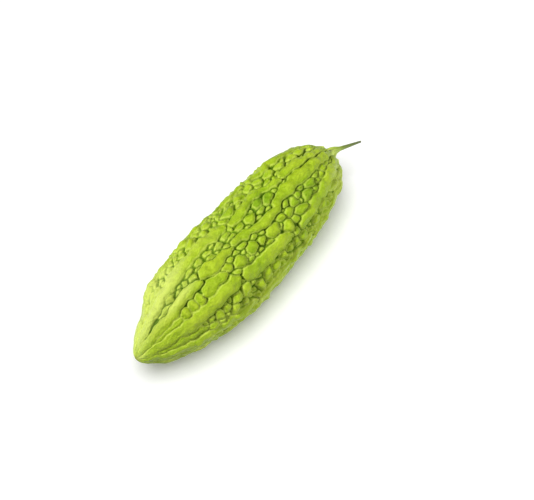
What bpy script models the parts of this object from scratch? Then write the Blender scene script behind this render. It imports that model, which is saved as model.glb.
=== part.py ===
"""A bitter gourd as picked, lying on its side: the ridged, warty fruit and its short cut stem.

Metres, +Z up. The fruit's length runs along X, with the blossom tip at -X and the stem at +X.
The origin is on the ground, under the middle of the whole object's box.
Angles round the fruit count from its top (+Z) towards -Y.
"""

import math

import bmesh
import bpy
from mathutils import Matrix, Vector

# Fruit: overall sizes, over the ridges
FRUIT_LENGTH = 0.185
FRUIT_DIAMETER = 0.062
TIP_END_SHARE = 0.396  # share of the length between the blossom tip and the widest section
BOW = 0.0004  # how far the middle of the fruit bends towards -Y
TIP_LEAN = 0.0010  # how far the blossom tip leans towards +Y
TIP_LEAN_LENGTH = 0.040

# Fruit: how each end draws in, as radius = widest * (1 - share ** power) ** bluntness
TIP_POWER = 1.7
TIP_BLUNTNESS = 0.66
SHOULDER_POWER = 3.5
SHOULDER_BLUNTNESS = 0.42

# Fruit: the long ridges, and the two staggered rows of warts in the valley between each two
RIDGE_COUNT = 10
RIDGE_SHARE = 0.4  # share of the pitch that a ridge takes up at its foot
VALLEY_DEPTH = 0.0028
RIDGE_WANDER = math.radians(3.0)
WANDER_WAVELENGTH = 0.075
WART_PITCH = 0.0082
WART_HEIGHT = 0.0015
RELIEF_FULL_RADIUS = 0.024  # where the fruit is slimmer than this, ridges and warts get lower

# Fruit: where the stem grows, and how deep the resting side is pressed flat
STEM_SEAT_DIAMETER = 0.0096
TIP_SCAR_DIAMETER = 0.0016
RESTING_PRESS = 0.0023

# Stem: it flares onto the fruit, thins to a neck, bends towards -Y and goes on straight
STEM_LENGTH = 0.0250
STEM_BASE_DIAMETER = 0.0092
STEM_NECK_DIAMETER = 0.0030
STEM_CUT_DIAMETER = 0.0015
STEM_FLARE_LENGTH = 0.0105
STEM_BEND = math.radians(29.0)
STEM_BEND_START = 0.0030
STEM_BEND_LENGTH = 0.0055
STEM_RIB_COUNT = 5
STEM_RIB_SHARE = 0.16  # rib height, as a share of the stem's radius
GROWTH_GAP = 0.0003  # clearance between the fruit's seat and the stem's base

# How finely the surfaces are divided
COLUMNS_PER_RIDGE = 7
FRUIT_RINGS = 66
STEM_COLUMNS = 20
STEM_RINGS = 18

SKIN_GREEN = (0.31, 0.45, 0.03, 1.0)
STEM_GREEN = (0.16, 0.22, 0.04, 1.0)


def clear_scene():
    for thing in list(bpy.data.objects):
        bpy.data.objects.remove(thing, do_unlink=True)


def material(name, colour, roughness):
    made = bpy.data.materials.new(name)
    made.use_nodes = True
    shader = made.node_tree.nodes["Principled BSDF"]
    shader.inputs["Base Color"].default_value = colour
    shader.inputs["Roughness"].default_value = roughness
    shader.inputs["Metallic"].default_value = 0.0
    return made


# The fruit's outline


def fruit_radius(along):
    """The fruit's radius over the ridges, at a distance along its length from the blossom tip."""
    widest_at = FRUIT_LENGTH * TIP_END_SHARE
    if along < widest_at:
        share, power, bluntness = 1 - along / widest_at, TIP_POWER, TIP_BLUNTNESS
    else:
        share = (along - widest_at) / (FRUIT_LENGTH - widest_at)
        power, bluntness = SHOULDER_POWER, SHOULDER_BLUNTNESS
    drawn_in = max(0.0, 1 - min(1.0, share) ** power) ** bluntness
    return FRUIT_DIAMETER / 2 * drawn_in


def end_position(radius, low, high):
    """Where, between low and high along the fruit, its outline has the radius: narrow at low, wide at high."""
    for _ in range(40):
        middle = (low + high) / 2
        if fruit_radius(middle) < radius:
            low = middle
        else:
            high = middle
    return high


def ring_positions():
    """Places along the fruit that are evenly spaced on its outline, from the tip scar to the stem seat."""
    widest_at = FRUIT_LENGTH * TIP_END_SHARE
    first = end_position(TIP_SCAR_DIAMETER / 2, 0.0, widest_at)
    last = end_position(STEM_SEAT_DIAMETER / 2, FRUIT_LENGTH, widest_at)
    steps = 4000
    fine = [first + (last - first) * i / steps for i in range(steps + 1)]
    travelled = [0.0]
    for before, after in zip(fine, fine[1:]):
        rise = fruit_radius(after) - fruit_radius(before)
        travelled.append(travelled[-1] + math.hypot(after - before, rise))
    positions, i = [], 0
    for ring in range(FRUIT_RINGS):
        wanted = travelled[-1] * ring / (FRUIT_RINGS - 1)
        while i < steps and travelled[i] < wanted:
            i += 1
        positions.append(fine[i])
    return positions


def bow_at(along):
    """Sideways place of the fruit's axis: an even bend between the ends, and a lean at the blossom tip."""
    share = 2 * along / FRUIT_LENGTH - 1
    lean = max(0.0, 1 - along / TIP_LEAN_LENGTH) ** 2
    return TIP_LEAN * lean - BOW * (1 - share * share)


# The fruit's relief


def ridge_pitch():
    return math.tau / RIDGE_COUNT


def ridge_shift(ridge, along):
    """How far a ridge wanders sideways, as an angle. It fades out where the ridges meet at the ends."""
    wave = math.sin(math.tau * along / WANDER_WAVELENGTH + 2.1 * ridge)
    return RIDGE_WANDER * wave * fade_at(along)


def fade_at(along):
    return min(1.0, fruit_radius(along) / RELIEF_FULL_RADIUS)


def bump(distance, reach):
    """A round rise: 1 in its middle, 0 from reach on."""
    return (1 + math.cos(math.pi * min(1.0, abs(distance) / reach))) / 2


def wart_rise(along, ridge, share):
    """Height of the warts in a valley, at a share of the pitch between its two ridges."""
    turn = math.tau * along / WART_PITCH + ridge
    near_row = bump(share - 1 / 3, 1 / 3) * (1 + math.cos(turn)) / 2
    far_row = bump(share - 2 / 3, 1 / 3) * (1 - math.cos(turn)) / 2
    return WART_HEIGHT * (near_row + far_row)


def column_place(column):
    """The ridge before a column, and the column's share of the way to the next ridge. None lies on a crest."""
    ridge, step = divmod(column, COLUMNS_PER_RIDGE)
    return ridge, (step + 0.5) / COLUMNS_PER_RIDGE


def surface_radius(along, column):
    """Distance from the fruit's axis to its skin: full at a ridge, less in a valley, raised again by warts."""
    ridge, share = column_place(column)
    beside_crest = min(share, 1 - share) - 0.5 / COLUMNS_PER_RIDGE
    dip = VALLEY_DEPTH * (1 - bump(beside_crest, RIDGE_SHARE / 2))
    return fruit_radius(along) - (dip - wart_rise(along, ridge, share)) * fade_at(along)


def column_angle(along, column):
    """Angle of a column, which follows its two neighbouring ridges. A valley lies at the top and the bottom."""
    ridge, share = column_place(column)
    next_ridge = (ridge + 1) % RIDGE_COUNT
    shift = ridge_shift(ridge, along) * (1 - share) + ridge_shift(next_ridge, along) * share
    return ridge_pitch() * (ridge + 0.5 + share) + shift


def skin_point(along, column):
    angle = column_angle(along, column)
    radius = surface_radius(along, column)
    return Vector((along, bow_at(along) - radius * math.sin(angle), radius * math.cos(angle)))


# Meshes


def lofted_mesh(name, rings, close_first_to_point):
    """One closed mesh over rings of points, listed so that their faces point out. The ends get caps."""
    mesh = bmesh.new()
    loops = [[mesh.verts.new(point) for point in ring] for ring in rings]
    for before, after in zip(loops, loops[1:]):
        for i in range(len(before)):
            j = (i + 1) % len(before)
            mesh.faces.new((before[i], before[j], after[j], after[i]))
    if close_first_to_point:
        centre = mesh.verts.new(sum((vert.co for vert in loops[0]), Vector()) / len(loops[0]))
        for i in range(len(loops[0])):
            j = (i + 1) % len(loops[0])
            mesh.faces.new((centre, loops[0][j], loops[0][i]))
    else:
        mesh.faces.new(tuple(reversed(loops[0])))
    mesh.faces.new(tuple(loops[-1]))
    bmesh.ops.recalc_face_normals(mesh, faces=mesh.faces)
    data = bpy.data.meshes.new(name)
    mesh.to_mesh(data)
    mesh.free()
    data.shade_smooth()
    return data


def add_object(name, data, finish):
    thing = bpy.data.objects.new(name, data)
    bpy.context.scene.collection.objects.link(thing)
    data.materials.append(finish)
    return thing


def press_flat_below(mesh, height):
    """The skin that would reach under this height lies on it instead, as a fruit's weight presses it."""
    for vert in mesh.vertices:
        vert.co.z = max(vert.co.z, height)


def make_fruit():
    columns = RIDGE_COUNT * COLUMNS_PER_RIDGE
    rings = [[skin_point(along, column) for column in range(columns)] for along in ring_positions()]
    mesh = lofted_mesh("fruit", rings, close_first_to_point=True)
    lowest = min(vert.co.z for vert in mesh.vertices)
    press_flat_below(mesh, lowest + RESTING_PRESS)
    return add_object("fruit", mesh, material("gourd_skin", SKIN_GREEN, 0.38))


def stem_radius(distance):
    """The stem's radius at a distance from its base: a flare, then an even taper to the cut end."""
    share = distance / STEM_LENGTH
    shaft = STEM_NECK_DIAMETER / 2 * (1 - share) + STEM_CUT_DIAMETER / 2 * share
    flare = max(0.0, 1 - distance / STEM_FLARE_LENGTH) ** 1.6
    return shaft + (STEM_BASE_DIAMETER - STEM_NECK_DIAMETER) / 2 * flare


def stem_heading(distance):
    """Which way the stem points at a distance from its base: straight out, then turned towards -Y."""
    share = min(1.0, max(0.0, (distance - STEM_BEND_START) / STEM_BEND_LENGTH))
    return -STEM_BEND * share * share * (3 - 2 * share)


def stem_rings():
    """Rings along the stem's path, each square to it."""
    place = Vector((end_position(STEM_SEAT_DIAMETER / 2, FRUIT_LENGTH, FRUIT_LENGTH / 2) + GROWTH_GAP, 0, 0))
    place.y = bow_at(place.x)
    step = STEM_LENGTH / (STEM_RINGS - 1)
    rings = []
    for ring in range(STEM_RINGS):
        distance = ring * step
        turn = Matrix.Rotation(stem_heading(distance), 3, "Z")
        ribs = STEM_RIB_SHARE * (1 - 0.5 * distance / STEM_LENGTH)
        points = []
        for column in range(STEM_COLUMNS):
            angle = math.tau * column / STEM_COLUMNS
            radius = stem_radius(distance) * (1 - ribs * (1 - math.cos(STEM_RIB_COUNT * angle)) / 2)
            across = Vector((0, -radius * math.sin(angle), radius * math.cos(angle)))
            points.append(place + turn @ across)
        rings.append(points)
        place = place + turn @ Vector((step, 0, 0))
    return rings


def make_stem():
    mesh = lofted_mesh("stem", stem_rings(), close_first_to_point=False)
    return add_object("stem", mesh, material("gourd_stem", STEM_GREEN, 0.6))


def corners_of(things):
    """Lowest and highest corner of the box round several objects."""
    points = [thing.matrix_world @ vert.co for thing in things for vert in thing.data.vertices]
    low = Vector([min(point[axis] for point in points) for axis in range(3)])
    high = Vector([max(point[axis] for point in points) for axis in range(3)])
    return low, high


def set_on_the_ground(things):
    """Puts the box's middle over the origin, and the lowest skin on the ground."""
    bpy.context.view_layer.update()
    low, high = corners_of(things)
    middle = (low + high) / 2
    for thing in things:
        thing.location = Vector((-middle.x, -middle.y, -low.z))


def main():
    clear_scene()
    fruit = make_fruit()
    stem = make_stem()
    set_on_the_ground([fruit, stem])


main()
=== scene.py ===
"""A bitter gourd lying on its side: its ridged and warty skin, its cut stem, and a plain studio round it.

The fruit is worked out in millimetres, in its own terms: how far along it a point lies from the blossom
tip, and the angle round it from its top (+Z) towards -Y. Everything else is in metres, +Z up.
"""

import math

import bpy
import numpy as np
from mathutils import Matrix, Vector


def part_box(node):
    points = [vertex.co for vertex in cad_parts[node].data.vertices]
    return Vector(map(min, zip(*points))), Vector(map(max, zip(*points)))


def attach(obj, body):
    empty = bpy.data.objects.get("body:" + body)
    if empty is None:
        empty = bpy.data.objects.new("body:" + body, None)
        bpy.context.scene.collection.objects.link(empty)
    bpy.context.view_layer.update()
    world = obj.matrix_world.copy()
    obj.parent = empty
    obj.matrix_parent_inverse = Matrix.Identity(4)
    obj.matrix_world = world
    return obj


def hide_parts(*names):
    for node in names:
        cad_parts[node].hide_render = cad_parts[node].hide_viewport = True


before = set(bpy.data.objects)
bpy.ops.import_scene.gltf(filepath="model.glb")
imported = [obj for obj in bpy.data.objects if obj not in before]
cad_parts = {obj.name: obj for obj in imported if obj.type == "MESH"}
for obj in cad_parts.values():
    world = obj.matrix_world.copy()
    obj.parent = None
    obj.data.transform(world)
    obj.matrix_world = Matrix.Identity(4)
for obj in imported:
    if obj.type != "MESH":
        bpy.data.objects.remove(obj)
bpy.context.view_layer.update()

MM = 0.001

# The fruit's body, as its solid has it
LENGTH = 185.0
WIDEST_RADIUS = 31.0
TIP_END = 0.396 * LENGTH  # from the blossom tip to the widest section
BOW = 0.4
TIP_LEAN, TIP_LEAN_LENGTH = 1.0, 40.0
TIP_SCAR_RADIUS = 0.4
STEM_SEAT_RADIUS = 4.4

# Where it lies, to the hundredth of a millimetre, from its solid's box
FRUIT_LOW, FRUIT_HIGH = (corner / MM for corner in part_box("fruit"))
TIP_CUT = 0.165  # how much of the outline's sharp tip the scar takes off
TOP_OVER_AXIS = 30.41
TIP_X = round(FRUIT_LOW.x - TIP_CUT, 2)
TIP_Y = round((FRUIT_LOW.y + FRUIT_HIGH.y) / 2 + BOW, 2)
AXIS_HEIGHT = round(FRUIT_HIGH.z - TOP_OVER_AXIS, 2)

# Its skin
RINGS = 332  # with the columns, just under 200,000 triangles
COLUMNS = 300
RELIEF = 4.2  # from the bottom of a crease to the top of a ridge
SUNK_SHARE = 0.88  # share of the relief that lies inside the fruit's outline
FULL_RELIEF_RADIUS = 22.0  # where the fruit is slimmer than this, ridges and warts get lower
CREASE_FILL = 1.2  # how far ridges and warts swell past their edges to meet each other
OPEN_SKIN = 9.0  # how far off a ridge or wart counts as being before any is near
RIDGE_PITCH = math.radians(36)  # ten ridges all round

# The ridges on the upper front. Each is a row of pieces, and each piece a row of stations:
# millimetres along, degrees round, and half its width in millimetres.
FRONT_RIDGES = (
    (
        ((-6, -52, 3.0), (18, -53, 3.0), (29, -54, 2.2)),
        ((31, -57, 1.8), (35, -58, 2.2), (39, -57, 1.8)),
        ((40, -56, 2.4), (50, -57, 2.8), (60, -55, 2.2)),
        ((63, -52, 2.2), (80, -54, 3.0), (95, -54, 2.4)),
        ((97, -50, 2.4), (112, -49, 3.0), (124, -48, 2.2)),
        ((126, -44, 2.8), (150, -42, 3.4), (194, -40, 3.0)),
    ),
    (
        (
            (-6, -24, 3.0), (11, -24, 3.2), (29, -22, 4.3), (45, -23, 5.0),
            (53, -24, 5.2), (61, -21, 4.4), (80, -19, 4.3), (92, -16, 4.2),
        ),
        (
            (92, -9, 2.4), (105, -13, 3.9), (112, -16, 3.9), (119, -17, 3.5),
            (126, -15, 2.8), (133, -8, 2.5), (139, -4, 2.0),
        ),
        ((139, -10, 2.6), (153, -9, 3.8), (162, -6, 3.2), (175, -1, 3.0), (194, 0, 3.0)),
    ),
    (
        (
            (-6, 16, 3.0), (12, 15, 3.3), (28, 12, 4.2), (37, 6, 4.0),
            (44, 6, 3.8), (50, 9, 3.2), (55, 11, 2.4),
        ),
        ((55, 8, 3.0), (62, 8, 4.7), (70, 11, 3.9), (77, 10, 2.8), (83, 11, 1.8)),
        (
            (83, 7, 2.2), (94, 11, 3.6), (103, 17, 2.9), (110, 19, 2.9), (117, 18, 3.2), (123, 16, 3.4),
            (128, 10, 4.2), (135, 8, 4.8), (145, 10, 4.6), (160, 11, 4.1), (175, 12, 3.6), (194, 14, 3.0),
        ),
    ),
    (
        ((-6, 45, 3.6), (25, 44, 3.8), (36, 45, 4.7), (48, 44, 5.0), (60, 42, 4.9), (73, 41, 5.2)),
        ((74, 48, 4.6), (87, 50, 5.9), (96, 51, 4.7), (106, 51, 4.8), (117, 53, 4.2)),
        ((124, 58, 3.0), (139, 53, 4.3), (153, 49, 4.5), (165, 44, 4.2), (194, 42, 3.6)),
    ),
    (
        ((-6, 82, 3.6), (36, 85, 4.0), (64, 84, 4.3), (76, 86, 3.6)),
        ((77, 88, 3.6), (95, 90, 4.2), (112, 86, 4.0), (133, 83, 3.4)),
        ((133, 90, 3.2), (150, 86, 3.8), (165, 82, 3.6), (194, 80, 3.4)),
    ),
)
# Folds, lower than the ridges, that fill the valleys where there are few warts:
# their height as a share of a ridge's, and their stations
FOLDS = (
    (0.72, ((10, 28, 1.3), (19, 28, 2.0), (32, 26, 1.8))),
    (0.45, ((24, -3, 0.8), (29, -3, 1.3), (35, -4, 1.1))),
    (0.72, ((10, 64, 1.8), (25, 64, 2.6), (41, 66, 2.0))),
    (0.72, ((12, -36, 1.2), (24, -36, 1.8), (34, -37, 1.4))),
    (0.72, ((49.5, 26, 4.2), (57, 25, 4.4), (63, 25, 3.6), (69, 26, 3.0))),
    (0.72, ((5, 103, 1.4), (12, 104, 2.4), (22, 106, 3.0), (40, 107, 3.0), (62, 108, 3.6), (84, 106, 3.0))),
    (0.72, ((87, 108, 3.0), (110, 107, 3.6), (128, 105, 3.0))),
    (0.72, ((131, 104, 2.8), (150, 106, 3.4), (172, 105, 2.4))),
    (0.72, ((5, -108, 1.4), (12, -108, 2.4), (22, -107, 2.8), (34, -106, 2.2))),
)
BACK_RIDGE_ANGLES = (126, 162, 198, 234, 270)  # the other five ridges, in degrees round

# The warts that stand out on the upper front:
# millimetres along, degrees round, half length, half width, and turn in degrees
FRONT_WARTS = (
    # between the middle ridge and the one below it
    (35.5, 26, 3.4, 3.4, 10), (41, 27, 2.3, 4.4, 10), (46, 27, 2.3, 4.8, 6),
    (71, 23, 4.2, 2.5, 18), (74, 35, 2.6, 2.1, 0), (79.5, 29, 5.2, 3.8, -14),
    (87, 17, 3.0, 1.9, 0), (91, 28, 4.6, 3.8, 0), (97, 20, 2.5, 2.3, 0), (99, 31, 2.6, 3.6, 15),
    (109, 33, 5.4, 3.6, 0), (118, 28, 2.8, 3.1, 0), (125.5, 32, 3.7, 3.8, 0), (127, 22, 3.8, 2.6, 0),
    (119, 43, 4.4, 4.2, 0), (132.5, 41, 6.8, 3.0, 20), (137.5, 26, 2.7, 1.9, 0), (143, 34, 5.2, 2.8, -8),
    (149.5, 27, 4.4, 2.8, 12), (157, 23, 2.6, 1.9, 0),
    # between the two upper ridges of the front
    (41, -3, 3.2, 1.4, 0), (48, -5, 2.7, 2.0, 0), (53, 0, 3.3, 2.2, 30), (54, -8, 3.9, 1.7, 0),
    (62, -8, 3.9, 1.8, 0), (70, 0, 3.2, 1.8, 0), (70, -7, 4.1, 1.8, 0), (78, -3, 4.6, 1.8, 0),
    (86, -5, 4.1, 2.1, -10), (88, 1, 3.7, 1.8, 0), (95.5, 0, 4.5, 2.4, 0), (104, 2, 4.8, 2.9, 0),
    (113, 5, 4.1, 1.7, -15), (115, -4, 4.8, 2.9, 0), (122.5, 1, 5.6, 3.0, -10),
    # below, towards the resting side
    (44, 58, 2.2, 2.3, 0), (50, 62, 2.6, 3.4, 0), (55.5, 59, 2.6, 3.3, 0), (60, 71, 3.3, 3.4, 0),
    (82, 72, 3.2, 4.2, 10), (89, 67, 3.8, 3.9, 0), (97, 69, 3.4, 3.2, 0), (105, 66, 2.9, 3.7, 0),
    (111, 65, 2.9, 3.5, 0), (117.5, 68, 2.8, 2.8, 0),
    # above, towards the far side
    (51, -39, 3.2, 3.2, 0), (61, -36, 2.9, 2.6, 0), (71, -37, 5.2, 3.8, 0), (81, -32, 3.6, 2.6, 0),
    (86.5, -40, 3.6, 3.8, 0), (101, -27, 6.6, 3.3, 8), (114, -33, 5.8, 3.6, 0), (122, -33, 3.8, 3.3, 0),
    (129.5, -31, 3.5, 3.1, 0), (138, -26, 4.8, 3.3, 10), (147, -24, 4.4, 2.9, 10), (157, -23, 4.4, 2.9, 0),
)
# Where neighbours run into each other with hardly a crease between them:
# millimetres along, degrees round, how far it reaches each way in millimetres, and how much
MERGED_PATCHES = (
    (43, 31, 15, 6, 0.55),
    (20, 30, 18, 9, 0.50),
    (24, 66, 24, 12, 0.50),
    (26, -36, 16, 6, 0.30),
    (24, -4, 26, 5, -0.50),
    (168, 62, 14, 9, 0.40),
    (150, 74, 18, 8, 0.30),
    (80, 112, 70, 9, 0.55),
)
# Where the whole body bulges or falls in a little:
# millimetres along, degrees round, how far it reaches each way, and how high, in millimetres
SWELLS = (
    (8, -70, 8, 8, -1.1),
    (24, -68, 9, 13, -2.2),
    (41, -70, 8, 13, 2.2),
    (92, -70, 20, 12, -1.1),
    (85, 110, 30, 14, 1.0),
    (177, -68, 9, 11, -3.0),
)
# Where the skin is painted greener (up) or paler (down), partly its own tone, partly painted shade in deep
# pockets between high ridges and painted light on the upper far side towards the tip:
# millimetres along, degrees round, how far it reaches each way in millimetres, and how much
TONE_AND_LIGHT_PATCHES = (
    (118, -3, 12, 6, 0.9),
    (142, 29, 16, 7, 0.6),
    (92, 26, 14, 7, 0.3),
    (126, 60, 12, 8, 0.4),
    (105, -32, 22, 8, 0.3),
    (24, -72, 24, 13, -0.9),
    (45, -40, 18, 9, -0.6),
    (28, -27, 22, 7, -0.8),
    (40, 4, 14, 3, -0.5),
    (66, -24, 16, 4, -0.3),
    (170, 64, 14, 10, -0.5),
    (62, -6, 16, 5, -0.3),
)
# The warts scattered between all these
WART_SIZES = (4.2, 3.7, 3.2, 2.8, 2.4, 2.1, 1.8, 1.5)
WARTS_FROM, WARTS_TO = 22.0, 180.0
LARGEST_ON_GIRTH = 0.16  # the largest wart on a slim end, as a share of the fruit's radius there
NEAREST_TO_RIDGE = 0.62  # how near a ridge's edge a wart's middle may come, as a share of its size
NEAREST_TO_WART = 0.93  # how near two warts' middles may come, as a share of their sizes together
# The upper far side has slimmer and smaller warts: from and to in degrees round
SLIM_WARTS_FROM, SLIM_WARTS_TO = -80, -26
SLIM_WART_LARGEST = 2.5
SLIM_WART_STRETCH = 1.6
# Places with no scattered warts: from and to in millimetres along, from and to in degrees round
CLEAR_OF_WARTS = ((30, 72, 10, 43), (0, 36, -18, 10))

# The stem
STEM_LENGTH = 25.0
STEM_BASE_RADIUS = 5.6
STEM_NECK_RADIUS = 2.1
STEM_CUT_RADIUS = 0.65
STEM_FLARE = 10.5
STEM_BEND = math.radians(29.0)
STEM_BEND_START, STEM_BEND_LENGTH = 3.0, 5.5
STEM_LEGS = 5
LEG_REACH = 10.0  # how far from the stem's middle its legs reach over the fruit's shoulder
STEM_COLUMNS = 80
SHOULDER_RINGS = 16
STALK_RINGS = 46


# The fruit's body


def fruit_radius(along):
    """Radius over the ridges: an even swelling, with a point at one end and a shoulder at the other."""
    along = np.asarray(along, float)
    to_tip = np.clip(1 - along / TIP_END, 0, 1)
    to_stem = np.clip((along - TIP_END) / (LENGTH - TIP_END), 0, 1)
    tip = np.maximum(0, 1 - to_tip**1.7) ** 0.66
    shoulder = np.maximum(0, 1 - to_stem**3.5) ** 0.42
    return WIDEST_RADIUS * np.where(along < TIP_END, tip, shoulder)


def walk_along(count):
    """Places from the tip's scar to the stem's seat, evenly spaced on the outline, and the way to each."""
    fine = np.linspace(0, 1, 20001)
    fine = LENGTH * (1 - np.cos(math.pi * fine)) / 2
    radius = fruit_radius(fine)
    covered = radius >= np.where(fine < TIP_END, TIP_SCAR_RADIUS, STEM_SEAT_RADIUS)
    fine, radius = fine[covered], radius[covered]
    travel = np.concatenate([[0], np.cumsum(np.hypot(np.diff(fine), np.diff(radius)))])
    wanted = np.linspace(0, travel[-1], count)
    return np.interp(wanted, travel, fine), wanted


def fade(radius):
    """Ridges and warts get lower where the fruit gets slim."""
    return np.minimum(1, radius / FULL_RELIEF_RADIUS)


def smooth_step(value, low, high):
    """A smooth rise from 0, where value is low, to 1, where it is high."""
    share = np.clip((value - low) / (high - low), 0, 1)
    return share * share * (3 - 2 * share)


def turned(angle):
    """An angle brought between half a turn back and half a turn on."""
    return (angle + math.pi) % math.tau - math.pi


class Skin:
    """The fruit's skin as a grid of rings and columns, and the relief that grows on it."""

    def __init__(self):
        self.along, self.travel = walk_along(RINGS)
        self.angle = np.arange(COLUMNS) * math.tau / COLUMNS
        self.radius = fruit_radius(self.along)
        # how far each point lies outside the edge of the nearest ridge or wart, and of the next nearest
        self.nearest = np.full((RINGS, COLUMNS), OPEN_SKIN)
        self.second = np.full((RINGS, COLUMNS), OPEN_SKIN)
        # the nearest one's height, how far its edge is from its middle, and whether it is a ridge
        self.rise = np.ones((RINGS, COLUMNS))
        self.reach = np.ones((RINGS, COLUMNS))
        self.is_ridge = np.zeros((RINGS, COLUMNS))
        # how far the edges wander, in millimetres
        self.push_along = 0.55 * self.noise(4.5, 1) + 0.25 * self.noise(2.2, 2)
        self.push_round = 0.55 * self.noise(4.5, 3) + 0.25 * self.noise(2.2, 4)

    def noise(self, cell, seed, stretch=1.0):
        """Smooth random lumps from -1 to 1, one about every cell millimetres, stretched lengthways."""
        mean_radius = 27
        cells_along = int(self.travel[-1] / (cell * stretch)) + 3
        cells_round = max(3, round(math.tau * mean_radius / cell))
        table = np.random.default_rng(seed).uniform(-1, 1, (cells_along, cells_round))
        row = self.travel / (cell * stretch)
        column = self.angle / math.tau * cells_round
        above, left = row.astype(int), column.astype(int)
        right = (left + 1) % cells_round
        down = smooth_step(row - above, 0, 1)[:, None]
        over = smooth_step(column - left, 0, 1)[None]
        upper = table[above][:, left] * (1 - over) + table[above][:, right] * over
        lower = table[above + 1][:, left] * (1 - over) + table[above + 1][:, right] * over
        return upper * (1 - down) + lower * down

    def travel_at(self, along):
        """How far the outline has come at a place along the fruit."""
        return np.interp(along, self.along, self.travel)

    def grow(self, rows, columns, distance, rise, reach, ridge=0.0):
        """Adds a ridge or wart, given how far each point of a patch lies outside its edge."""
        patch = np.ix_(rows, columns)
        nearest, second = self.nearest[patch], self.second[patch]
        closer = distance < nearest
        self.second[patch] = np.where(closer, nearest, np.minimum(second, distance))
        self.nearest[patch] = np.where(closer, distance, nearest)
        for layer, value in ((self.rise, rise), (self.reach, reach), (self.is_ridge, ridge)):
            layer[patch] = np.where(closer, value, layer[patch])

    def around(self, travel, angle, half_long, half_round):
        """Rows and columns near a point of the skin."""
        radius = max(3.0, float(np.interp(travel, self.travel, self.radius)))
        rows = np.flatnonzero(np.abs(self.travel - travel) < half_long)
        span = min(math.pi, half_round / radius)
        columns = np.flatnonzero(np.abs(turned(self.angle - angle)) < span)
        return rows, columns

    def add_ridge_piece(self, stations, seed, rise=1.0):
        """One length of ridge, with rounded ends and slightly uneven edges."""
        random = np.random.default_rng(seed)
        places, degrees, halves = (np.array(column, float) for column in zip(*stations))
        start, end = places[0], places[-1]
        rows = np.flatnonzero((self.along > start - 6) & (self.along < end + 6))
        # the stations' path and width, with their corners rounded off
        fine = np.linspace(-10, LENGTH + 10, 417)
        window = np.hanning(13)
        window /= window.sum()
        path, width = (
            np.convolve(np.pad(np.interp(fine, places, values), 6, mode="edge"), window, "valid")
            for values in (np.radians(degrees), halves)
        )
        centre = np.interp(self.along[rows], fine, path)
        half_width = np.interp(self.along[rows], fine, width)
        travel = self.travel[rows]
        # a piece that runs off the fruit has no rounded end there
        endless = np.full(len(rows), 99.0)
        before = travel - self.travel_at(start) if start > 0 else endless
        after = self.travel_at(end) - travel if end < LENGTH else endless
        to_end = np.minimum(before, after)
        # how the edges and the crest wander
        phases = random.uniform(0, math.tau, 6)
        sway = 0.30 * np.sin(travel / 2.9 + phases[0]) + 0.22 * np.sin(travel / 1.5 + phases[1])
        swell = 0.42 * np.sin(travel / 2.1 + phases[2]) + 0.28 * np.sin(travel / 1.1 + phases[3])
        room = 0.5 * RIDGE_PITCH * self.radius[rows]
        leeway = np.minimum(1, room / 6)[:, None]
        half = np.minimum(half_width + swell, 0.94 * room)
        rounding = np.clip(to_end / half_width, 0, 1)
        half = half * np.sqrt(np.maximum(0, 1 - (1 - rounding) ** 2))
        away = turned(self.angle[None] - centre[:, None]) * self.radius[rows][:, None]
        away = away + sway[:, None] * leeway
        away = away + self.push_round[rows] * leeway
        away_share = away / np.maximum(half, 1.0)[:, None]
        crest = 0.95 + 0.07 * np.sin(travel / 4.3 + phases[4]) + 0.05 * np.sin(travel / 2.0 + phases[5])
        crest = crest[:, None] * (1 - 0.10 * np.clip(away_share, -1, 1))
        beyond = np.maximum(0, -to_end)[:, None]
        distance = np.where(beyond > 0, np.hypot(away, beyond), np.abs(away) - half[:, None])
        reach = np.minimum(half_width, room)[:, None]
        self.grow(rows, np.arange(COLUMNS), distance, rise * crest, reach, 1.0)

    def add_wart(self, along, angle, half_long, half_wide, turn):
        """An oval wart, higher the larger it is, whose top slants a little its own way."""
        travel = float(self.travel_at(along))
        size = math.sqrt(half_long * half_wide)
        rows, columns = self.around(travel, angle, half_long + 4, half_long + 4)
        if not len(rows) or not len(columns):
            return
        ahead = self.travel[rows][:, None] - travel + self.push_along[np.ix_(rows, columns)]
        aside = turned(self.angle[columns] - angle)[None] * self.radius[rows][:, None]
        aside = aside + self.push_round[np.ix_(rows, columns)]
        cosine, sine = math.cos(turn), math.sin(turn)
        ahead, aside = ahead * cosine + aside * sine, aside * cosine - ahead * sine
        share = np.sqrt((ahead / half_long) ** 2 + (aside / half_wide) ** 2)
        narrow_half = min(half_long, half_wide)
        distance = (share - 1) * narrow_half
        rise = min(1.02, 0.40 + 0.18 * size)
        random = np.random.default_rng(int(1000 * along) + int(100 * angle % 97))
        slant = random.uniform(-0.2, 0.2, 2) + (0.18, 0)
        tilt = 1 + np.clip(slant[0] * ahead / half_long + slant[1] * aside / half_wide, -0.34, 0.34)
        self.grow(rows, columns, distance, rise * tilt, 0.95 * narrow_half + CREASE_FILL)

    def soft_patches(self, patches):
        """The sum of soft round patches, each fading out from its middle."""
        total = np.zeros((RINGS, COLUMNS))
        for along, degrees, long, wide, amount in patches:
            ahead = (self.along - along)[:, None] / long
            aside = turned(self.angle - math.radians(degrees))[None] * self.radius[:, None] / wide
            total += amount * np.exp(-ahead * ahead - aside * aside)
        return total

    def relief(self):
        """Height of the skin over the bottom of its creases, and how deep in a crease each point lies, which
        the finish uses for painted shade in the creases and a painted highlight along their edges.
        """
        edge_softness, seam_softness = 0.5, 0.45
        room = np.maximum(0, self.second - self.nearest) / 2
        inside = np.maximum(0, CREASE_FILL - self.nearest)
        slim = fade(self.radius)[:, None]
        # how far neighbours run into each other: more in places, and towards the tip
        merged = 0.22 + 0.30 * self.noise(8, 21) + 0.16 * self.noise(4, 22)
        merged = merged + 0.15 * smooth_step(60 - self.along, 0, 30)[:, None]
        merged = merged + self.soft_patches(MERGED_PATCHES)
        merged = np.clip(merged, 0.04, 0.8)
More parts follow.
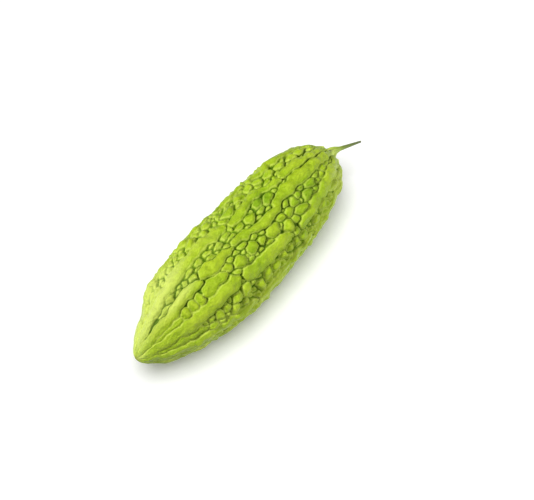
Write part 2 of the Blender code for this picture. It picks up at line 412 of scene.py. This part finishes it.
        # open pits between three or more, and the seams between two
        pit = 0.12 + 0.4 * merged
        edge = pit + (1 - pit) * (1 - np.exp(-inside / edge_softness))
        seam = merged + (1 - merged) * (1 - np.exp(-room / seam_softness))
        # ridges have flat tops, warts round ones
        share = np.clip(np.minimum(inside, room + 0.3) / (self.reach + CREASE_FILL), 0, 1)
        flat = np.where(self.is_ridge > 0.5, 0.40, 0.14)
        dome = flat + (1 - flat) * np.sqrt(1 - (1 - share) ** 2)
        lumps = 1 + 0.13 * self.noise(9, 11) + 0.17 * self.noise(4, 12)
        height = RELIEF * self.rise * edge * seam * dome * lumps
        height = height + (0.26 * self.noise(2.4, 13) + 0.15 * self.noise(1.4, 15, 2.0)) * edge
        # the painted shade lines in the creases are a little finer than their hollows
        open_seam = 1 - np.exp(-room / 0.42) * (1 - merged)
        deep = 1 - np.minimum(1 - np.exp(-inside / 0.45), open_seam)
        swell = 0.5 * self.noise(24, 14) * slim + self.soft_patches(SWELLS)
        return height * slim + swell, deep * (0.4 + 0.6 * slim)


def back_ridge(angle, seed):
    """A ridge on the side away from the front: two or three pieces that drift a little."""
    random = np.random.default_rng(seed)
    past_end, last_break = 6.0, 118
    shortest, longest = 48, 84
    breaks = [-past_end]
    while breaks[-1] < last_break:
        breaks.append(max(breaks[-1], 0) + random.uniform(shortest, longest))
    breaks[-1] = LENGTH + past_end
    pieces = []
    for start, end in zip(breaks, breaks[1:]):
        places = np.linspace(start, end - 1.5, max(3, int((end - start) / 11)))
        degrees = angle + random.uniform(-3, 3) + random.uniform(-3.5, 3.5, len(places))
        halves = random.uniform(3.0, 5.0, len(places))
        pieces.append(tuple(zip(places, degrees, halves)))
    return pieces


def kept_clear(along, degrees):
    """Whether a place is one of those with no scattered warts."""
    return any(
        start < along < end and low < degrees < high for start, end, low, high in CLEAR_OF_WARTS
    )


def scatter_warts(skin):
    """Fills the valleys between the ridges with warts, the largest first, each where it has room."""
    random = np.random.default_rng(7)
    placed = np.array([
        (float(skin.travel_at(along)), math.radians(degrees), math.sqrt(long * wide))
        for along, degrees, long, wide, _ in FRONT_WARTS
    ])
    off_ridges = np.where(skin.is_ridge > 0.5, skin.nearest, OPEN_SKIN)
    for size in WART_SIZES:
        tries = int(9000 / size)
        places = random.uniform(WARTS_FROM, WARTS_TO, tries)
        angles = random.uniform(0, math.tau, tries)
        scales = random.uniform(0.9, 1.1, tries)
        stretches = random.uniform(1.05, 1.8, tries)
        turns = random.uniform(-0.6, 0.6, tries)
        for along, angle, scale, stretch, turn in zip(places, angles, scales, stretches, turns):
            radius = float(fruit_radius(along))
            travel = float(skin.travel_at(along))
            wart = size * scale
            if wart > LARGEST_ON_GIRTH * radius:
                continue
            row = min(int(np.searchsorted(skin.travel, travel)), RINGS - 1)
            column = int(angle / math.tau * COLUMNS) % COLUMNS
            if off_ridges[row, column] < NEAREST_TO_RIDGE * wart:
                continue
            degrees = math.degrees(turned(angle))
            if SLIM_WARTS_FROM < degrees < SLIM_WARTS_TO:
                if wart > SLIM_WART_LARGEST:
                    continue
                stretch *= SLIM_WART_STRETCH
            if kept_clear(along, degrees):
                continue
            away = np.hypot(placed[:, 0] - travel, turned(placed[:, 1] - angle) * radius)
            if (away < NEAREST_TO_WART * (placed[:, 2] + wart)).any():
                continue
            placed = np.vstack([placed, (travel, angle, wart)])
            slimness = math.sqrt(stretch)
            skin.add_wart(along, angle, wart * slimness, wart / slimness, turn)


def grow_skin():
    """Ridges first, then folds, then warts: where two overlap, each point belongs to the nearer one."""
    skin = Skin()
    for number, pieces in enumerate(FRONT_RIDGES):
        for part, stations in enumerate(pieces):
            skin.add_ridge_piece(stations, 100 + 10 * number + part)
    for number, (rise, stations) in enumerate(FOLDS):
        skin.add_ridge_piece(stations, 300 + number, rise)
    for number, angle in enumerate(BACK_RIDGE_ANGLES):
        for part, stations in enumerate(back_ridge(angle, 40 + number)):
            skin.add_ridge_piece(stations, 200 + 10 * number + part)
    for along, degrees, long, wide, turn in FRONT_WARTS:
        skin.add_wart(along, math.radians(degrees), long, wide, math.radians(turn))
    scatter_warts(skin)
    return skin


def centre_line(along):
    """The fruit's axis in the object's frame, in millimetres."""
    share = 2 * along / LENGTH - 1
    x = TIP_X + along
    lean = TIP_LEAN * np.maximum(0, 1 - along / TIP_LEAN_LENGTH) ** 2
    y = TIP_Y - BOW * (1 - share * share) + lean
    return x, y, np.full_like(x, AXIS_HEIGHT)


def mesh_from_grid(name, grid):
    """A tube over a grid of rings of points, in metres, closed at both ends, with a map that unrolls it."""
    rings, columns = grid.shape[:2]
    ring = np.arange(rings - 1)[:, None] * columns
    here = np.arange(columns)[None]
    beside = (here + 1) % columns
    quads = [ring + here, ring + beside, ring + columns + beside, ring + columns + here]
    faces = np.stack(quads, -1).reshape(-1, 4).tolist()
    start_hub = rings * columns
    end_hub = start_hub + 1
    last = start_hub - columns
    faces += [[start_hub, (c + 1) % columns, c] for c in range(columns)]
    faces += [[end_hub, last + c, last + (c + 1) % columns] for c in range(columns)]
    points = np.vstack([grid.reshape(-1, 3), grid[0].mean(0), grid[-1].mean(0)])
    mesh = bpy.data.meshes.new(name)
    mesh.from_pydata(points.tolist(), [], faces)
    unroll(mesh, rings, columns)
    mesh.shade_smooth()
    mesh.validate()
    return mesh


def unroll(mesh, rings, columns):
    """Lays the tube's faces out flat: along the length one way, round it the other."""
    layer = mesh.uv_layers.new(name="OFBake")
    count = len(mesh.loops)
    vertex = np.empty(count, np.int32)
    mesh.loops.foreach_get("vertex_index", vertex)
    start = np.empty(len(mesh.polygons), np.int32)
    total = np.empty(len(mesh.polygons), np.int32)
    mesh.polygons.foreach_get("loop_start", start)
    mesh.polygons.foreach_get("loop_total", total)
    face = np.repeat(np.arange(len(start)), total)
    on_ring = vertex < rings * columns
    row = np.where(on_ring, vertex // columns, np.where(vertex == rings * columns, 0, rings - 1))
    column = np.where(on_ring, vertex % columns, -1).astype(float)
    highest = np.full(len(start), -1.0)
    np.maximum.at(highest, face, column)
    # the last strip's far side is column 0 again: it goes on past the last column instead
    wrap = (column == 0) & (highest[face] > 1.5)
    column = np.where(wrap, columns, column)
    # the middle of an end goes halfway along its face's edge
    hub = column < 0
    column = np.where(hub, highest[face] - 0.5, column)
    margin, used = 0.02, 0.96
    uv = np.stack([row / (rings - 1) * used + margin, column / columns * used + margin], -1)
    layer.data.foreach_set("uv", uv.astype(np.float32).ravel())


def add_numbers(mesh, name, values):
    """Keeps a number at each point of the mesh for its finish to read."""
    layer = mesh.attributes.new(name, "FLOAT", "POINT")
    padded = np.zeros(len(mesh.vertices), np.float32)
    flat = np.asarray(values, np.float32).ravel()
    padded[: len(flat)] = flat
    padded[len(flat) :] = flat[-1]
    layer.data.foreach_set("value", padded)


def add_piece(name, mesh, finish, node):
    """A visible piece that stands for one of the solids."""
    piece = bpy.data.objects.new(name, mesh)
    bpy.context.scene.collection.objects.link(piece)
    mesh.materials.append(finish)
    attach(piece, "root")
    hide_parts(node)
    return piece


def make_fruit():
    skin = grow_skin()
    height, deep = skin.relief()
    ground = skin.radius - SUNK_SHARE * RELIEF * fade(skin.radius)
    # the relief stands square to the outline
    slope = np.gradient(skin.radius, skin.travel)
    slope = np.clip(slope, -0.995, 0.995)
    lean = np.sqrt(1 - slope**2)
    along = skin.along[:, None] - height * slope[:, None]
    out = ground[:, None] + height * lean[:, None]
    x, y, z = centre_line(along)
    y = y - out * np.sin(skin.angle)[None]
    z = z + out * np.cos(skin.angle)[None]
    z = np.maximum(z, 0)  # pressed flat where it rests
    grid = np.stack([x, y, z], -1) * MM
    mesh = mesh_from_grid("fruit_skin", grid)
    # crease: where the finish paints shade in the creases and a highlight along their edges
    add_numbers(mesh, "crease", deep)
    # height: also drives the finish's paler tops and darker hollows, partly painted light and painted shade
    add_numbers(mesh, "height", height / RELIEF)
    add_numbers(mesh, "along", np.repeat(skin.along[:, None] / LENGTH, COLUMNS, 1))
    # tone: random shifts of the skin's own colour, plus painted shade in deep pockets and painted light near
    # the tip's upper far side
    add_numbers(mesh, "tone", skin.soft_patches(TONE_AND_LIGHT_PATCHES) + 0.25 * skin.noise(18, 31))
    return add_piece("fruit_skin", mesh, fruit_finish(), "fruit")


# The stem


def stem_grid():
    """Rings from the legs that grip the fruit's shoulder to the cut end."""
    angle = np.arange(STEM_COLUMNS) * math.tau / STEM_COLUMNS
    legs = np.cos(STEM_LEGS * (angle - math.radians(18)))
    rings = []
    # the legs stand proud of the shoulder, and between them the stem sinks into it
    places = np.linspace(TIP_END, LENGTH, 4000)
    for share in np.linspace(0, 1, SHOULDER_RINGS):
        radius = LEG_REACH + (STEM_BASE_RADIUS - LEG_REACH) * share
        along = float(np.interp(-radius, -fruit_radius(places), places))
        crest = np.clip((legs + 1) / 2, 0, 1) ** (1 + 5 * (1 - share))
        rise = -2.0 + (2.6 + 2.0 * share) * crest + 2.2 * share**2 * (1 - crest)
        x, y, z = centre_line(np.full(STEM_COLUMNS, along))
        x = x + 0.9 * rise + 0.4 * share
        out = radius + 0.5 * rise
        rings.append(np.stack([x, y - out * np.sin(angle), z + out * np.cos(angle)], -1))
    # the stalk flares from the seat, bends and goes on straight
    seat = walk_along(50)[0][-1:]
    place = np.concatenate(centre_line(seat))
    bend_end = STEM_BEND_START + STEM_BEND_LENGTH
    for step in range(1, STALK_RINGS + 1):
        distance = STEM_LENGTH * step / STALK_RINGS
        share = distance / STEM_LENGTH
        heading = -STEM_BEND * smooth_step(distance, STEM_BEND_START, bend_end)
        forward = np.array([math.cos(heading), math.sin(heading), 0])
        side = np.array([-math.sin(heading), math.cos(heading), 0])
        place = place + forward * STEM_LENGTH / STALK_RINGS
        shaft = STEM_NECK_RADIUS * (1 - share) + STEM_CUT_RADIUS * share
        flare = max(0.0, 1 - distance / STEM_FLARE) ** 1.2
        radius = shaft + (STEM_BASE_RADIUS - STEM_NECK_RADIUS) * flare
        ribs = 1 - (0.30 - 0.14 * share) * (1 - legs) / 2
        out = radius * ribs
        sideways, upwards = -out * np.sin(angle), out * np.cos(angle)
        rings.append(place + sideways[:, None] * side + upwards[:, None] * [0, 0, 1])
    return np.array(rings) * MM


def make_stem():
    grid = stem_grid()
    mesh = mesh_from_grid("stem_stalk", grid)
    share = np.repeat(np.linspace(0, 1, len(grid))[:, None], STEM_COLUMNS, 1)
    add_numbers(mesh, "along", share)
    return add_piece("stem_stalk", mesh, stem_finish(), "stem")


# Finishes


def colour(red, green, blue):
    """A colour given from 0 to 255 as a screen shows it, in the light values that a shader takes."""
    parts = [c / 255 for c in (red, green, blue)]
    return [c / 12.92 if c <= 0.04045 else ((c + 0.055) / 1.055) ** 2.4 for c in parts] + [1.0]


class Number:
    """A number that varies over a surface, so that shader maths reads as plain sums."""

    def __init__(self, board, socket):
        self.board, self.socket = board, socket

    def __add__(self, other):
        return self.board.work_out("ADD", self, other)

    def __radd__(self, other):
        return self.board.work_out("ADD", other, self)

    def __sub__(self, other):
        return self.board.work_out("SUBTRACT", self, other)

    def __rsub__(self, other):
        return self.board.work_out("SUBTRACT", other, self)

    def __mul__(self, other):
        return self.board.work_out("MULTIPLY", self, other)

    def __rmul__(self, other):
        return self.board.work_out("MULTIPLY", other, self)


class Board:
    """One material's nodes."""

    def __init__(self, name):
        self.material = bpy.data.materials.new(name)
        self.material.use_nodes = True
        self.tree = self.material.node_tree
        self.shader = self.tree.nodes["Principled BSDF"]

    def node(self, kind, settings=None, sockets=None):
        """A node of a kind: its settings are set first, then its sockets take values or links."""
        made = self.tree.nodes.new(kind)
        for key, value in (settings or {}).items():
            if key == "stops":
                self.set_stops(made.color_ramp, value)
            else:
                setattr(made, key, value)
        for key, value in (sockets or {}).items():
            self.feed(made.inputs[key], value)
        return made

    def feed(self, socket, value):
        """Links a number or a socket, and sets anything else as it is."""
        if isinstance(value, Number):
            value = value.socket
        if isinstance(value, bpy.types.NodeSocket):
            self.tree.links.new(value, socket)
        else:
            socket.default_value = value

    def set(self, name, value):
        """Gives the shader itself a value or a link."""
        self.feed(self.shader.inputs[name], value)

    @staticmethod
    def set_stops(ramp, stops):
        while len(ramp.elements) < len(stops):
            ramp.elements.new(1.0)
        for element, (place, tint) in zip(ramp.elements, stops):
            element.position = place
            element.color = tint

    def work_out(self, operation, first, second):
        made = self.node("ShaderNodeMath", {"operation": operation}, {0: first, 1: second})
        return Number(self, made.outputs[0])

    def point_number(self, name):
        made = self.node("ShaderNodeAttribute", {"attribute_name": name})
        return Number(self, made.outputs["Fac"])

    def place(self, stretch):
        where = self.node("ShaderNodeTexCoord").outputs["Object"]
        return self.node("ShaderNodeMapping", sockets={"Vector": where, "Scale": stretch}).outputs[0]

    def noise(self, scale, detail=2.0, roughness=0.5, stretch=(1, 1, 1)):
        made = self.node(
            "ShaderNodeTexNoise",
            sockets={"Vector": self.place(stretch), "Scale": scale, "Detail": detail, "Roughness": roughness},
        )
        return Number(self, made.outputs["Fac"])

    def between(self, value, low, high, start=0.0, end=1.0):
        """value brought from low..high to start..end, and held there beyond."""
        made = self.node(
            "ShaderNodeMapRange",
            {"clamp": True, "interpolation_type": "SMOOTHSTEP"},
            {"Value": value, "From Min": low, "From Max": high, "To Min": start, "To Max": end},
        )
        return Number(self, made.outputs["Result"])

    def blend(self, share, first, second):
        """A colour share of the way from the first to the second."""
        made = self.node(
            "ShaderNodeMix",
            {"data_type": "RGBA", "blend_type": "MIX", "clamp_factor": True},
            {0: share, 6: first, 7: second},
        )
        return made.outputs[2]

    def ramp(self, value, stops):
        made = self.node("ShaderNodeValToRGB", {"stops": stops}, {"Fac": value})
        return made.outputs["Color"]

    def bump(self, height, strength, distance):
        made = self.node(
            "ShaderNodeBump", sockets={"Height": height, "Strength": strength, "Distance": distance}
        )
        return made.outputs["Normal"]


def fruit_finish():
    """Waxy skin: yellow-green on the ridges and darker green low down, with painted shade in the creases and
    a painted highlight along their edges, and paler towards the tip, partly its own tone and partly painted
    light.
    """
    board = Board("gourd_skin")
    crease = board.point_number("crease")
    height = board.point_number("height")
    along = board.point_number("along")
    tone = board.point_number("tone")
    mottle = board.noise(260.0, 3.0)
    grain = board.noise(950.0, 3.0, 0.6)
    patches = board.noise(38.0, 2.0)
    streaks = board.noise(420.0, 2.0, stretch=(0.3, 1, 1))
    body = board.ramp(
        along,
        (
            (0.0, colour(116, 132, 28)),
            (0.12, colour(118, 136, 22)),
            (0.35, colour(134, 158, 16)),
            (0.70, colour(136, 166, 10)),
            (1.0, colour(150, 176, 26)),
        ),
    )
    # paler on the raised tops and darker green low down: partly the skin's own tone, partly painted light on
    # the tops and painted shade in the hollows
    pale = board.between(height * 0.8 + mottle * 0.5, 0.5, 1.2)
    skin = board.blend(0.35 - pale * 0.35, body, colour(104, 144, 0))
    skin = board.blend(pale * 0.45, skin, colour(164, 182, 44))
    skin = board.blend(board.between(patches, 0.42, 0.7) * 0.35, skin, colour(112, 150, 6))
    skin = board.blend(board.between(streaks, 0.45, 0.75) * 0.25, skin, colour(104, 138, 6))
    skin = board.blend(board.between(grain, 0.35, 0.65) * 0.3, skin, colour(170, 190, 50))
    # greener where tone is up, partly painted shade in deep pockets; paler and whiter where it is down,
    # partly a painted highlight
    skin = board.blend(board.between(tone, 0.0, 1.0) * 0.7, skin, colour(84, 128, 0))
    skin = board.blend(board.between(tone, -0.9, 0.0, 0.5, 0.0), skin, colour(196, 206, 112))
    # painted highlight: a pale band along the edges of the creases, standing in for light catching the rims
    # of the ridges and warts
    painted_rim_light = board.between(crease, 0.03, 0.15) * board.between(crease, 0.2, 0.45, 1.0, 0.0)
    skin = board.blend(painted_rim_light * 0.4, skin, colour(204, 216, 100))
    # painted shade: dark green in the creases, where shade falls
    skin = board.blend(board.between(crease, 0.1, 0.8) * 0.85, skin, colour(44, 84, 0))
    tip = board.between(along, 0.0, 0.012, 1.0, 0.0)
    skin = board.blend(tip * 0.6, skin, colour(104, 104, 36))
    board.set("Base Color", skin)
    board.set("Roughness", board.between(mottle, 0.35, 0.65, 0.28, 0.42))
    pores = board.noise(1300.0, 2.0, 0.6)
    wrinkles = board.noise(560.0, 4.0, 0.6, stretch=(0.5, 1, 1))
    board.set("Normal", board.bump(pores * 0.4 + wrinkles, 0.8, 0.0018))
    board.set("Specular IOR Level", 0.36)
    board.set("Specular Tint", (0.9, 1.0, 0.3, 1.0))
    board.set("Subsurface Weight", 0.10)
    board.set("Subsurface Radius", (0.0016, 0.0020, 0.0005))
    board.set("Subsurface Scale", 1.0)
    return board.material


def stem_finish():
    """Pale green where it grips the fruit, dark olive and fibrous towards the cut."""
    board = Board("gourd_stem")
    along = board.point_number("along")
    fibres = board.noise(700.0, 3.0, 0.6, stretch=(0.15, 1, 1))
    spots = board.noise(300.0, 2.0)
    tone = board.ramp(
        along + fibres * 0.12 - 0.06,
        (
            (0.0, colour(158, 184, 56)),
            (0.28, colour(192, 208, 88)),
            (0.46, colour(142, 164, 48)),
            (0.66, colour(96, 112, 44)),
            (1.0, colour(76, 86, 46)),
        ),
    )
    tone = board.blend(board.between(fibres, 0.5, 0.8) * 0.4, tone, colour(60, 76, 28))
    tone = board.blend(board.between(spots, 0.62, 0.75) * 0.3, tone, colour(120, 104, 60))
    cut = board.between(along, 0.985, 1.0)
    tone = board.blend(cut * 0.7, tone, colour(150, 136, 92))
    board.set("Base Color", tone)
    board.set("Roughness", board.between(fibres, 0.2, 0.8, 0.45, 0.65))
    board.set("Normal", board.bump(fibres, 0.5, 0.0005))
    return board.material


def floor_finish():
    """Matt white, lit a little from within so that it stays pale under the gourd's own lamps."""
    board = Board("floor_white")
    grain = board.noise(3.0, 2.0)
    board.set("Roughness", board.between(grain, 0.3, 0.7, 0.75, 0.85))
    board.set("Base Color", (0.92, 0.92, 0.92, 1))
    board.set("Emission Color", (1, 1, 1, 1))
    board.set("Emission Strength", 0.18)
    board.set("Specular IOR Level", 0.1)
    return board.material


# The studio


def make_floor():
    size = 12.0
    mesh = bpy.data.meshes.new("studio_floor")
    corners = [(-size, -size, 0), (size, -size, 0), (size, size, 0), (-size, size, 0)]
    mesh.from_pydata(corners, [], [(0, 1, 2, 3)])
    floor = bpy.data.objects.new("studio_floor", mesh)
    bpy.context.scene.collection.objects.link(floor)
    mesh.materials.append(floor_finish())
    floor.location.z = -0.0002  # just clear of the gourd's flat resting patch
    return floor


def aim_at(thing, target):
    """Turns a lamp or a camera to face a point."""
    thing.rotation_euler = (Vector(target) - thing.location).to_track_quat("-Z", "Y").to_euler()


def add_lamp(name, place, size, watts, lit):
    """A round soft lamp that lights only the pieces in lit."""
    lamp = bpy.data.lights.new(name, "AREA")
    lamp.shape = "DISK"
    lamp.size = size
    lamp.energy = watts
    thing = bpy.data.objects.new(name, lamp)
    bpy.context.scene.collection.objects.link(thing)
    thing.location = place
    aim_at(thing, (0, 0, 0.02))
    group = bpy.data.collections.new(name + "_lights")
    for piece in lit:
        group.objects.link(piece)
    thing.light_linking.receiver_collection = group


def light_studio(pieces, floor):
    """Dim white all round, the strongest light from the upper left, and some from the lower right."""
    world = bpy.data.worlds.new("studio_white")
    world.use_nodes = True
    background = world.node_tree.nodes["Background"]
    background.inputs["Color"].default_value = (1, 1, 1, 1)
    background.inputs["Strength"].default_value = 0.20
    bpy.context.scene.world = world
    add_lamp("window_light", (-0.56, 0.32, 0.78), 0.18, 15.4, pieces)
    add_lamp("front_fill", (0.45, -0.75, 0.45), 0.6, 7.5, pieces)
    add_lamp("table_light", (-0.25, -0.05, 1.3), 1.0, 17.5, [floor])


def place_camera():
    """The gourd seen from above and from its blossom end, its stem away to the upper right."""
    azimuth, elevation, distance = math.radians(-51.3), math.radians(60.0), 0.9
    aim = Vector((0.0027, -0.0123, 0.028))
    back = Vector(
        (
            math.sin(azimuth) * math.cos(elevation),
            -math.cos(azimuth) * math.cos(elevation),
            math.sin(elevation),
        )
    )
    lens = bpy.data.cameras.new("camera")
    lens.lens = 98.6
    lens.sensor_width = 36.0
    lens.clip_start = 0.01
    lens.clip_end = 100.0
    camera = bpy.data.objects.new("camera", lens)
    bpy.context.scene.collection.objects.link(camera)
    camera.location = aim + back * distance
    aim_at(camera, aim)
    bpy.context.scene.camera = camera


place_camera()
floor = make_floor()
light_studio([make_fruit(), make_stem()], floor)
bpy.context.scene.view_settings.view_transform = "Standard"
bpy.context.view_layer.update()
